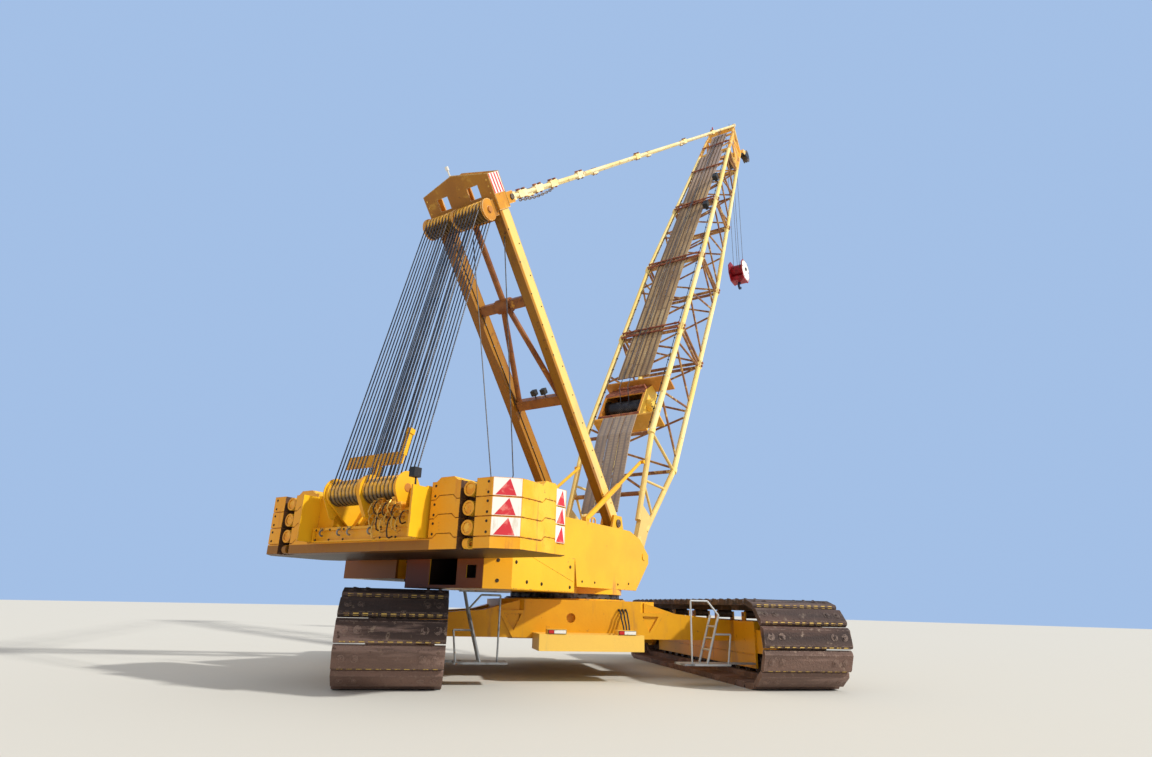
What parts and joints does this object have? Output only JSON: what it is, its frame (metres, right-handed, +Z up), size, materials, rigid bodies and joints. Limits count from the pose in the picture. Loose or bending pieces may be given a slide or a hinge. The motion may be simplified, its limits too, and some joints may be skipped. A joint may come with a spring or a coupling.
{
  "type": "lattice boom crawler crane",
  "caption": "Crawler crane with a lattice boom, a leaning luffing mast, stacked rear counterweights and two wide crawler tracks.",
  "frame": {"origin": "on the slewing axis at ground level", "axes": "+X the way the boom points, +Y to the left of the machine, +Z up"},
  "size_m": [25.4044, 14.3112, 28.2309],
  "materials": {
    "yellow_paint": "weathered yellow paint with dirt and rust",
    "frame_paint": "glossy orange yellow paint",
    "weight_paint": "chipped orange yellow paint",
    "boom_paint": "faded pale yellow paint",
    "sheave_paint": "worn paint on greasy steel",
    "bare_steel": "greasy machined steel",
    "track_steel": "rusty cast steel",
    "rope_steel": "greased steel rope",
    "engine_iron": "dull iron",
    "seat_plastic": "matte",
    "grating_steel": "dirty galvanised grating",
    "hook_paint": "dark red paint",
    "ladder_steel": "weathered grey metal",
    "lamp_plastic": "black housing"
  },
  "bodies": {
    "undercarriage": {"carbody": "yellow_paint", "slew_ring": "bare_steel", "track_frame_left": "yellow_paint", "track_frame_right": "yellow_paint", "track_left": "track_steel", "track_right": "track_steel", "track_wheels_left": "track_steel", "track_wheels_right": "track_steel", "track_drives": "yellow_paint", "end_boxes": "yellow_paint", "step_ladders": "ladder_steel"},
    "superstructure": {"main_frame": "frame_paint", "slewing_base": "frame_paint", "counterweight_tray": "weight_paint", "counterweight_left": "weight_paint", "counterweight_right": "weight_paint", "tail_brackets": "frame_paint", "lower_sheaves": "sheave_paint", "luffing_winch": "rope_steel", "engine_house": "frame_paint", "engine": "engine_iron", "cab_body": "frame_paint", "cab_seat": "seat_plastic", "tail_lamp": "lamp_plastic"},
    "cab_door": {"cab_door": "frame_paint"},
    "mast": {"mast_leg_left": "frame_paint", "mast_leg_right": "frame_paint", "mast_bracing": "frame_paint", "mast_head": "frame_paint", "upper_sheaves": "sheave_paint", "mast_lamps": "lamp_plastic"},
    "pendants": {"pendants": "boom_paint"},
    "lower_ropes": {"lower_ropes": "rope_steel", "rope_guide": "frame_paint"},
    "upper_ropes": {"upper_ropes": "rope_steel"},
    "boom": {"boom_foot": "boom_paint", "boom_middle": "boom_paint", "boom_top": "boom_paint", "boom_tip": "boom_paint", "tip_sheaves": "rope_steel", "boom_walkway": "grating_steel", "hoist_winch": "frame_paint", "backstops": "frame_paint"},
    "hook": {"hook_block": "hook_paint", "hook_ropes": "rope_steel"}
  },
  "joints": [
    {"name": "slew", "type": "hinge", "parent": "undercarriage", "child": "superstructure", "pos_m": [0, 0, 1.8], "axis": [0, 0, 1], "continuous": true},
    {"name": "cab_door", "type": "hinge", "parent": "superstructure", "child": "cab_door", "pos_m": [1.355, 3.055, 3], "axis": [0, 0, 1], "range_deg": [0, 100]},
    {"name": "boom_luff", "type": "hinge", "parent": "superstructure", "child": "boom", "pos_m": [1.74, 0, 2.92], "axis": [0, 1, 0], "range_deg": [0, 45]},
    {"name": "mast_luff", "type": "hinge", "parent": "superstructure", "child": "mast", "pos_m": [1.02, 0, 3.79], "axis": [0, 1, 0], "range_deg": [0, 50.3]},
    {"name": "pendant_swing", "type": "hinge", "parent": "mast", "child": "pendants", "pos_m": [-4.59912, 0, 11.20224], "axis": [0, 1, 0], "range_deg": [-6, 0]},
    {"name": "lower_rope_swing", "type": "hinge", "parent": "superstructure", "child": "lower_ropes", "pos_m": [-7, 0, 3.55], "axis": [0, 1, 0], "range_deg": [0, 31]},
    {"name": "upper_rope_swing", "type": "hinge", "parent": "mast", "child": "upper_ropes", "pos_m": [-5.30335, 0, 10.45467], "axis": [0, 1, 0], "range_deg": [-19.3, 0]},
    {"name": "hook_swing", "type": "hinge", "parent": "boom", "child": "hook", "pos_m": [17.3344, 0, 26.99031], "axis": [0, 1, 0], "range_deg": [-45, 0]}
  ],
  "couplings": [
    {"joint": "mast_luff", "follows": "boom_luff", "ratio": 1.1142},
    {"joint": "pendant_swing", "follows": "boom_luff", "ratio": -0.1302},
    {"joint": "lower_rope_swing", "follows": "boom_luff", "ratio": 0.6875},
    {"joint": "upper_rope_swing", "follows": "boom_luff", "ratio": -0.4267},
    {"joint": "hook_swing", "follows": "boom_luff", "ratio": -1}
  ]
}
